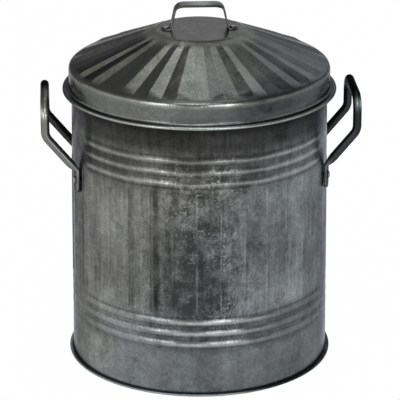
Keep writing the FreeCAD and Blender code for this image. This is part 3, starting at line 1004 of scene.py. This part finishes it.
zinc_wall = galvanised("zinc_wall", Finish(
    dark=(0.055, 0.057, 0.057), mid=(0.160, 0.163, 0.163), light=(0.30, 0.305, 0.303),
    rough=0.27, frost=1.0, edge=0.58,
))
zinc_base = galvanised("zinc_base", Finish(
    dark=(0.05, 0.052, 0.053), mid=(0.11, 0.114, 0.115), light=(0.20, 0.205, 0.205),
    rough=0.36, streak=0.3,
))
zinc_lid = galvanised("zinc_lid", Finish(
    dark=(0.05, 0.052, 0.05), mid=(0.115, 0.117, 0.112), light=(0.20, 0.202, 0.195),
    rough=0.24, spangle=0.7, streak=0.1, cool_below=0.342, cool_rate=5.0, edge=0.5, uneven=0.6,
))
zinc_strap = galvanised("zinc_strap", Finish(
    dark=(0.04, 0.041, 0.041), mid=(0.115, 0.117, 0.116), light=(0.22, 0.22, 0.22),
    rough=0.32, streak=0.2,
))
dark_rod = galvanised("dark_rod", Finish(
    dark=(0.03, 0.03, 0.03), mid=(0.07, 0.07, 0.069), light=(0.13, 0.13, 0.13),
    rough=0.36, spangle=0.2, streak=0.15, speckle=0.4, cool_below=0.25, cool_rate=1.0, edge=0.3, relief=0.05,
))
rivet_zinc = galvanised("rivet_zinc", Finish(
    dark=(0.03, 0.03, 0.03), mid=(0.10, 0.102, 0.10), light=(0.19, 0.19, 0.19),
    rough=0.32, streak=0.0,
))


# Pieces

wall_piece(zinc_wall)
base_piece(zinc_base)
lid_piece(zinc_lid)
strap_piece(zinc_strap)
# Per handle: the front leg's painted light, upper and lower, and the angle of the bend's painted highlight
handle_piece("handle_right", "right_handle", 1, -0.62, -0.3, 34, dark_rod)
handle_piece("handle_left", "left_handle", -1, 1.2, 1.1, 20, dark_rod)
lid_rivet("strap_rivet_left", "lid_left_rivet", -1, rivet_zinc)
lid_rivet("strap_rivet_right", "lid_right_rivet", 1, rivet_zinc)
for side, label in ((1, "right"), (-1, "left")):
    for end, place in ((-1, "front"), (1, "rear")):
        tab_rivet(f"tab_rivet_{label}_{place}", f"{label}_{place}_rivet", side, end, rivet_zinc)


# Floor, light and camera, in metres

FLOOR_HALF = 6.0
FLOOR_WHITE = 0.985
WORLD_LIGHT = 0.30
CAMERA_TURN = math.radians(-3.5)
CAMERA_DISTANCE = 2.562
CAMERA_HEIGHT = 1.1355
CAMERA_DOWN = math.radians(20.39)
CAMERA_ASIDE = math.radians(0.017)
CAMERA_LENS = 207.8
CAMERA_SENSOR = 36.0


def floor_material():
    """White to the camera and in the metal, and a plain pale floor to the light, with the shadow kept."""
    graph = Graph("floor")
    shader = graph.shader
    shader.inputs["Base Color"].default_value = (0.82, 0.82, 0.82, 1)
    shader.inputs["Roughness"].default_value = 0.9
    shader.inputs["Specular IOR Level"].default_value = 0.0
    glow = graph.add("ShaderNodeEmission")
    glow.inputs["Color"].default_value = (1, 1, 1, 1)
    glow.inputs["Strength"].default_value = 1.0
    path = graph.add("ShaderNodeLightPath").outputs
    seen = graph.calc("MAXIMUM", path["Is Camera Ray"], path["Is Glossy Ray"])
    seen = graph.calc("MAXIMUM", seen, path["Is Transmission Ray"])
    blend = graph.add("ShaderNodeMixShader")
    graph.feed(blend.inputs["Fac"], graph.times(seen, FLOOR_WHITE))
    graph.feed(blend.inputs[1], shader.outputs[0])
    graph.feed(blend.inputs[2], glow.outputs[0])
    graph.feed(graph.nodes["Material Output"].inputs["Surface"], blend.outputs[0])
    return graph.material


floor_mesh = bpy.data.meshes.new("floor")
floor_corners = [(FLOOR_HALF * x, FLOOR_HALF * y, 0) for x, y in ((-1, -1), (1, -1), (1, 1), (-1, 1))]
floor_mesh.from_pydata(floor_corners, [], [(0, 1, 2, 3)])
floor_mesh.materials.append(floor_material())
floor = bpy.data.objects.new("floor", floor_mesh)
bpy.context.scene.collection.objects.link(floor)


def softbox(name, place, aim, width, height, radiance):
    """Area lamp of a given brightness, facing a point."""
    lamp = bpy.data.lights.new(name, "AREA")
    lamp.shape = "RECTANGLE"
    lamp.size = width
    lamp.size_y = height
    lamp.energy = radiance * math.pi * width * height
    box = bpy.data.objects.new(name, lamp)
    box.location = place
    box.rotation_euler = (Vector(aim) - Vector(place)).to_track_quat("-Z", "Y").to_euler()
    box.visible_camera = False
    bpy.context.scene.collection.objects.link(box)


softbox("side_left", (-1.8, -0.15, 0.55), (0, 0, 0.2), 2.4, 1.0, 0.8)
softbox("side_right", (1.8, 0.05, 0.55), (0, 0, 0.2), 2.4, 1.0, 0.7)
softbox("top_back", (-0.02, 0.8, 2.1), (0, 0, 0.37), 0.8, 0.62, 1.7)
softbox("right_back", (0.87, 1.7, 1.47), (0, 0, 0.37), 1.3, 1.9, 0.65)
softbox("back", (0.1, 2.4, 1.25), (0, 0, 0.39), 1.0, 0.8, 1.0)
softbox("top", (0, -0.55, 2.5), (0, 0, 0.35), 1.6, 1.3, 0.9)
softbox("front_left", (-1.34, -1.75, 0.55), (0, 0, 0.4), 0.75, 1.0, 3.6)
softbox("front_right", (0.62, -2.1, 0.5), (0, 0, 0.4), 0.75, 0.9, 3.6)
softbox("front_top", (-0.2, -2.3, 2.3), (0, 0, 0.3), 1.8, 0.5, 5.0)

world = bpy.data.worlds.new("studio")
world.use_nodes = True
background = world.node_tree.nodes["Background"]
background.inputs["Color"].default_value = (1, 1, 1, 1)
background.inputs["Strength"].default_value = WORLD_LIGHT
bpy.context.scene.world = world
bpy.context.scene.view_settings.view_transform = "Standard"

camera = bpy.data.objects.new("camera", bpy.data.cameras.new("camera"))
camera.data.lens = CAMERA_LENS
camera.data.sensor_width = CAMERA_SENSOR
camera.location = (
    CAMERA_DISTANCE * math.sin(CAMERA_TURN), -CAMERA_DISTANCE * math.cos(CAMERA_TURN), CAMERA_HEIGHT,
)
camera.rotation_euler = (math.pi / 2 - CAMERA_DOWN, 0, CAMERA_TURN - CAMERA_ASIDE)
bpy.context.scene.collection.objects.link(camera)
bpy.context.scene.camera = camera
